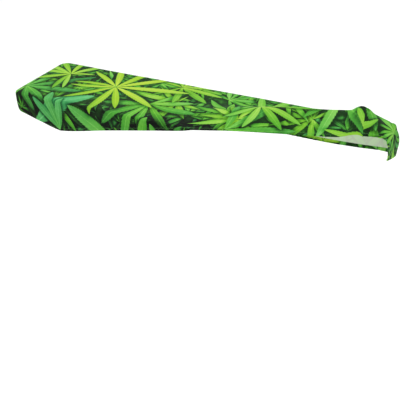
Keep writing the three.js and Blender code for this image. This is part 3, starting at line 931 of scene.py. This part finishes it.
# Softer unevenness of the print: how many patches there are in a metre, their detail, and what they add
printNoises = {
    "gaps": (14.0, 3.0, 0.4),   # the deep shade between the leaves
    "grain": (70.0, 4.0, 0.2),  # of the blades
    "dapple": (7.0, 2.0, 0.3),  # of light
}
gapTone, gapHue = -0.06, 0.4
ribTone = 0.2                   # a rib or vein is lighter by this
# Colours of the dyes for the three hues, at the same steps of lightness
printSteps = (0.0, 0.22, 0.44, 0.66, 1.0)
printGreens = {
    "blueGreen": ("#020804", "#0D3019", "#2A7A41", "#4EA45F", "#86C292"),
    "fresh": ("#030902", "#153A0C", "#439121", "#66AC35", "#8FC258"),
    "yellowGreen": ("#060D02", "#2B500A", "#70A119", "#8AB424", "#A9C240"),
}


def addNoise(tree, flatCut, name):
    scale, detail, strength = printNoises[name]
    noise = addNode(tree, "ShaderNodeTexNoise", {"Vector": flatCut, "Scale": scale, "Detail": detail})
    return noise.outputs["Fac"], strength


# One leaf to each cell of a layer, turned, sized and tinted by that cell's own chances
def addUndergrowth(tree, leafTree, place, layer):
    number, vector = "ShaderNodeMath", "ShaderNodeVectorMath"
    chance = undergrowthChance
    for cell, reach, fingers, spread, width, tone, hue, shift in zip(*undergrowth.values()):
        moved = addNode(tree, vector, [place, (shift, shift, 0)], operation="ADD")
        cells = addNode(tree, "ShaderNodeTexVoronoi", {"Vector": moved, "Scale": 1 / (cell * mm)},
                        voronoi_dimensions="2D")
        toEdge = addNode(tree, "ShaderNodeTexVoronoi", {"Vector": moved, "Scale": 1 / (cell * mm)},
                         voronoi_dimensions="2D", feature="DISTANCE_TO_EDGE")
        narrowed = addNode(tree, "ShaderNodeMapRange", {"Value": toEdge, "From Max": chance["edge"],
                           "To Max": width})
        first, second, third = addNode(tree, "ShaderNodeSeparateXYZ", [cells.outputs["Color"]]).outputs
        turn = addNode(tree, number, [first, 2 * math.pi], operation="MULTIPLY")
        size = addNode(tree, number, [second, chance["longer"], chance["shortest"]], operation="MULTIPLY_ADD")
        size = addNode(tree, number, [1 / (reach * mm), size], operation="DIVIDE")
        cosine = addNode(tree, number, [turn], operation="COSINE")
        sine = addNode(tree, number, [turn], operation="SINE")
        minusSine = addNode(tree, number, [sine, -1], operation="MULTIPLY")
        along = addNode(tree, "ShaderNodeCombineXYZ", [cosine, sine])
        along = addNode(tree, vector, {0: along, "Scale": size}, operation="SCALE")
        tilt = addNode(tree, number, [third, -chance["tilt"], 1], operation="MULTIPLY_ADD")
        size = addNode(tree, number, [size, tilt], operation="DIVIDE")
        across = addNode(tree, "ShaderNodeCombineXYZ", [minusSine, cosine])
        across = addNode(tree, vector, {0: across, "Scale": size}, operation="SCALE")
        toneHere = addNode(tree, number, [third, chance["tone"], tone - chance["tone"] / 2],
                           operation="MULTIPLY_ADD")
        hueHere = addNode(tree, number, [second, chance["hue"], hue - chance["hue"] / 2],
                          operation="MULTIPLY_ADD")
        layer = addNode(tree, "ShaderNodeGroup", {"Below": layer, "Place": moved,
                        "Centre": cells.outputs["Position"], "Along": along, "Across": across,
                        "Fingers": fingers, "Spread": math.radians(spread), "Width": narrowed,
                        "Tone": toneHere, "Hue": hueHere, "Chance": turn}, node_tree=leafTree)
    return layer


def addPlacedLeaves(tree, leafTree, place, layer):
    rows = zip(*placedLeaves.values())
    for order, (x, y, reach, points, tilt, fingers, spread, width, tone, hue) in enumerate(rows):
        angle, size = math.radians(points), 1 / (reach * mm)
        along = (math.cos(angle) * size, math.sin(angle) * size, 0)
        across = (-math.sin(angle) * size / tilt, math.cos(angle) * size / tilt, 0)
        layer = addNode(tree, "ShaderNodeGroup", {"Below": layer, "Place": place,
                        "Centre": (x * mm, y * mm, 0), "Along": along, "Across": across,
                        "Fingers": fingers, "Spread": math.radians(spread), "Width": width,
                        "Tone": tone, "Hue": hue, "Chance": float(order)}, node_tree=leafTree)
    return layer


# Light and shade over the leaves, with the blades' own fine unevenness
def addShading(tree, flatCut, lightness, ribs):
    number = "ShaderNodeMath"
    grain, dapple = addNoise(tree, flatCut, "grain"), addNoise(tree, flatCut, "dapple")
    tone = lightness
    for source, strength in ((ribs, ribTone), grain, dapple):
        tone = addNode(tree, number, [source, strength, tone], operation="MULTIPLY_ADD")
    depth = addNode(tree, "ShaderNodeVectorMath", [flatCut, (0, 1, 0)], operation="DOT_PRODUCT")
    (frontY, backY), (frontChange, backChange) = frontShade.values()
    shade = addNode(tree, "ShaderNodeMapRange", {"Value": depth, "From Min": frontY, "From Max": backY,
                    "To Min": frontChange, "To Max": backChange})
    tone = addNode(tree, number, [tone, shade], operation="ADD")
    for x, y, reach, change in zip(*broadLight.values()):
        away = addNode(tree, "ShaderNodeVectorMath", [flatCut, (x * mm, y * mm, 0)], operation="DISTANCE")
        here = addNode(tree, "ShaderNodeMapRange", {"Value": away, "From Max": reach * mm, "To Min": change,
                       "To Max": 0.0}, interpolation_type="SMOOTHSTEP")
        tone = addNode(tree, number, [tone, here], operation="ADD")
    return tone


# From lightness and hue to the dyes' colours
def addColours(tree, tone, hue):
    ramps = [addNode(tree, "ShaderNodeValToRGB", [tone]) for _ in printGreens]
    for ramp, colours in zip(ramps, printGreens.values()):
        stops = ramp.color_ramp.elements
        while len(stops) < len(colours):
            stops.new(0.5)
        for stop, at, colour in zip(stops, printSteps, colours):
            stop.position, stop.color = at, linear(colour)
    toFresh = addNode(tree, "ShaderNodeMapRange", {"Value": hue, "From Max": 0.5})
    toYellow = addNode(tree, "ShaderNodeMapRange", {"Value": hue, "From Min": 0.5})
    colour = ramps[0]
    for share, ramp in ((toFresh, ramps[1]), (toYellow, ramps[2])):
        colour = addNode(tree, "ShaderNodeMix", {"Factor": share, "A": colour, "B": ramp}, data_type="RGBA")
    return colour


def makePrintTree():
    tree = bpy.data.node_groups.new("leafPrint", "ShaderNodeTree")
    tree.interface.new_socket("Colour", in_out="OUTPUT", socket_type="NodeSocketColor")
    leafTree = makeLeafTree()
    flatCut = addNode(tree, "ShaderNodeUVMap", uv_map="flatCut")
    gaps, strength = addNoise(tree, flatCut, "gaps")
    dark = addNode(tree, "ShaderNodeMath", [gaps, strength, gapTone], operation="MULTIPLY_ADD")
    layer = addNode(tree, "ShaderNodeCombineXYZ", [dark, gapHue, 0])
    layer = addUndergrowth(tree, leafTree, flatCut, layer)
    layer = addPlacedLeaves(tree, leafTree, flatCut, layer)
    lightness, hue, ribs = addNode(tree, "ShaderNodeSeparateXYZ", [layer]).outputs
    tone = addShading(tree, flatCut, lightness, ribs)
    addNode(tree, "NodeGroupOutput", [addColours(tree, tone, hue)])
    return tree


# Printed polyester knit, heat-pressed from a transfer: soft and matt, its colours a little dulled by pile
printedKnit = {
    "roughness": 0.78,
    "ior": 1.58,
    "sheen": 0.02,
    "sheenRoughness": 0.6,
    "specular": 0.06,           # less than a smooth plastic, as light is lost among the fibres
    "rib": 2.6,                 # millimetres between the knit's ribs, drawn six times coarser than they are
    "course": 2.2,
    "bump": 0.5,
    "bumpHeight": 0.4,
    "reverse": "#DDE8D2",       # the side that wasn't printed, where the dye shows through
    "showThrough": 0.3,
}


# The knit's slanting stitches, as heights
def makeKnitTree():
    tree = bpy.data.node_groups.new("knitRelief", "ShaderNodeTree")
    tree.interface.new_socket("Height", in_out="OUTPUT", socket_type="NodeSocketFloat")
    flatCut = addNode(tree, "ShaderNodeUVMap", uv_map="flatCut")
    place = addNode(tree, "ShaderNodeSeparateXYZ", [flatCut])
    ribs = addNode(tree, "ShaderNodeMath", [place.outputs["X"], 1 / (printedKnit["rib"] * mm)],
                   operation="MULTIPLY")
    fromRib = addNode(tree, "ShaderNodeMath", [ribs, 0.5], operation="PINGPONG")
    courses = addNode(tree, "ShaderNodeMath", [place.outputs["Y"], 1 / (printedKnit["course"] * mm), fromRib],
                      operation="MULTIPLY_ADD")
    fromCourse = addNode(tree, "ShaderNodeMath", [courses, 0.5], operation="PINGPONG")
    height = addNode(tree, "ShaderNodeMath", [fromRib, fromCourse], operation="ADD")
    addNode(tree, "NodeGroupOutput", [height])
    return tree


# A new material, and its tree without nodes
def newMaterial(name):
    material = bpy.data.materials.new(name)
    material.use_nodes = True
    material.node_tree.nodes.clear()
    return material, material.node_tree


def makeClothMaterial(name, isReverse, printTree, knitTree):
    material, tree = newMaterial(name)
    colour = addNode(tree, "ShaderNodeGroup", node_tree=printTree)
    if isReverse:
        colour = addNode(tree, "ShaderNodeMix", {"Factor": printedKnit["showThrough"],
                         "A": linear(printedKnit["reverse"]), "B": colour}, data_type="RGBA")
    knit = addNode(tree, "ShaderNodeGroup", node_tree=knitTree)
    bump = addNode(tree, "ShaderNodeBump", {"Strength": printedKnit["bump"],
                   "Distance": printedKnit["bumpHeight"] * mm, "Height": knit})
    cloth = addNode(tree, "ShaderNodeBsdfPrincipled", {
        "Base Color": colour,
        "Roughness": printedKnit["roughness"],
        "IOR": printedKnit["ior"],
        "Sheen Weight": printedKnit["sheen"],
        "Sheen Roughness": printedKnit["sheenRoughness"],
        "Specular IOR Level": printedKnit["specular"],
        "Normal": bump,
    })
    addNode(tree, "ShaderNodeOutputMaterial", {"Surface": cloth})
    return material


# Spun polyester thread, twisted from short fibres: a little glossier than the cloth, with painted highlights:
# random lighter patches in its colour that stand in for light caught along its twist
spunThread = {
    "dark": "#2F7A2A",
    "light": "#6DB356",
    "twistHighlights": 900.0,             # patches of painted highlight in a metre
    "twistHighlightDetail": 2.0,
    "roughness": 0.55,
    "ior": 1.58,
}


def makeThreadMaterial():
    material, tree = newMaterial("spunPolyesterThread")
    place = addNode(tree, "ShaderNodeTexCoord")
    # random lighter patches mixed into the thread's colour: painted highlights where its twist would catch
    # light
    twistHighlights = addNode(tree, "ShaderNodeTexNoise", {"Vector": place.outputs["Object"],
                    "Scale": spunThread["twistHighlights"], "Detail": spunThread["twistHighlightDetail"]})
    colour = addNode(tree, "ShaderNodeMix", {"Factor": twistHighlights, "A": linear(spunThread["dark"]),
                     "B": linear(spunThread["light"])}, data_type="RGBA")
    thread = addNode(tree, "ShaderNodeBsdfPrincipled", {"Base Color": colour,
                     "Roughness": spunThread["roughness"], "IOR": spunThread["ior"]})
    addNode(tree, "ShaderNodeOutputMaterial", {"Surface": thread})
    return material


printTree, knitTree = makePrintTree(), makeKnitTree()
clothData.materials.append(makeClothMaterial("printedPolyesterKnit", False, printTree, knitTree))
clothData.materials.append(makeClothMaterial("unprintedKnitReverse", True, printTree, knitTree))
stitchData.materials.append(makeThreadMaterial())
print("print and cloth materials made")

for piece in (clothObject, stitchObject):
    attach(piece, "root")
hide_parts("cover")

# A plain pale floor, as far below as it is when the cover is in use. It is matt white paint, rolled on,
# which spreads the light evenly.
studio = {
    "floorDrop": 0.78,
    "floorReach": 60,           # metres each way, past the edge of the picture
    "floor": "#FDFDFC",
    "floorRoughness": 0.9,
    "sky": 1.0,
}


def makeStudio():
    data = bpy.data.meshes.new("studioFloor")
    signs = [(-1, -1), (1, -1), (1, 1), (-1, 1)]
    reach, drop = studio["floorReach"], studio["floorDrop"]
    data.from_pydata([(x * reach, y * reach, -drop) for x, y in signs], [], [(0, 1, 2, 3)])
    floor = bpy.data.objects.new("studioFloor", data)
    bpy.context.scene.collection.objects.link(floor)
    material = bpy.data.materials.new("matWhitePaint")
    material.use_nodes = True
    shader = material.node_tree.nodes["Principled BSDF"]
    shader.inputs["Base Color"].default_value = linear(studio["floor"])
    shader.inputs["Roughness"].default_value = studio["floorRoughness"]
    data.materials.append(material)

    world = bpy.data.worlds.new("studioWorld")
    bpy.context.scene.world = world
    world.use_nodes = True
    sky = world.node_tree.nodes["Background"]
    sky.inputs["Color"].default_value = (1, 1, 1, 1)
    sky.inputs["Strength"].default_value = studio["sky"]


# Soft light from above, from the front left and from the right: places in metres, power in watts
softboxes = {
    "overhead": {"place": (-0.3, 0.2, 2.4), "aim": (0, 0, 0), "size": 2.2, "power": 26},
    "frontLeft": {"place": (-1.6, -2.2, 1.5), "aim": (0, 0, -0.05), "size": 1.4, "power": 10},
    "right": {"place": (2.6, -0.6, 1.4), "aim": (0.4, 0, 0), "size": 1.2, "power": 7},
}


# The turn that points a light's beam from its place to what it is aimed at
def aimed(place, aim):
    return (Vector(aim) - Vector(place)).to_track_quat("-Z", "Y").to_matrix().to_4x4()


def makeLights():
    for name, box in softboxes.items():
        light = bpy.data.lights.new(name, "AREA")
        light.size, light.energy = box["size"], box["power"]
        lamp = bpy.data.objects.new(name, light)
        lamp.matrix_world = Matrix.Translation(box["place"]) @ aimed(box["place"], box["aim"])
        bpy.context.scene.collection.objects.link(lamp)


# The photograph's point of view: in front, to the right and above
viewpoint = {
    "place": (0.99966, -1.66905, 0.96162),
    "turnedLeft": 29.759,       # degrees
    "lookingDown": 35.558,
    "roll": -3.117,
    "lens": 54.387,             # millimetres, for a picture 36 mm wide
    "sensor": 36,
}


def makeCamera():
    turn, down, roll = (math.radians(viewpoint[name]) for name in ("turnedLeft", "lookingDown", "roll"))
    ahead = Vector((-math.sin(turn) * math.cos(down), math.cos(turn) * math.cos(down), -math.sin(down)))
    level = Vector((math.cos(turn), math.sin(turn), 0))
    above = level.cross(ahead)
    right = math.cos(roll) * level + math.sin(roll) * above
    up = math.cos(roll) * above - math.sin(roll) * level
    lens = bpy.data.cameras.new("photoLens")
    lens.lens, lens.sensor_width, lens.sensor_fit = viewpoint["lens"], viewpoint["sensor"], "HORIZONTAL"
    camera = bpy.data.objects.new("photoCamera", lens)
    turned = Matrix((right, up, -ahead)).transposed().to_4x4()
    camera.matrix_world = Matrix.Translation(viewpoint["place"]) @ turned
    bpy.context.scene.collection.objects.link(camera)
    bpy.context.scene.camera = camera


makeStudio()
makeLights()
makeCamera()
bpy.context.scene.view_settings.view_transform = "Standard"
print("studio, lights and camera made")
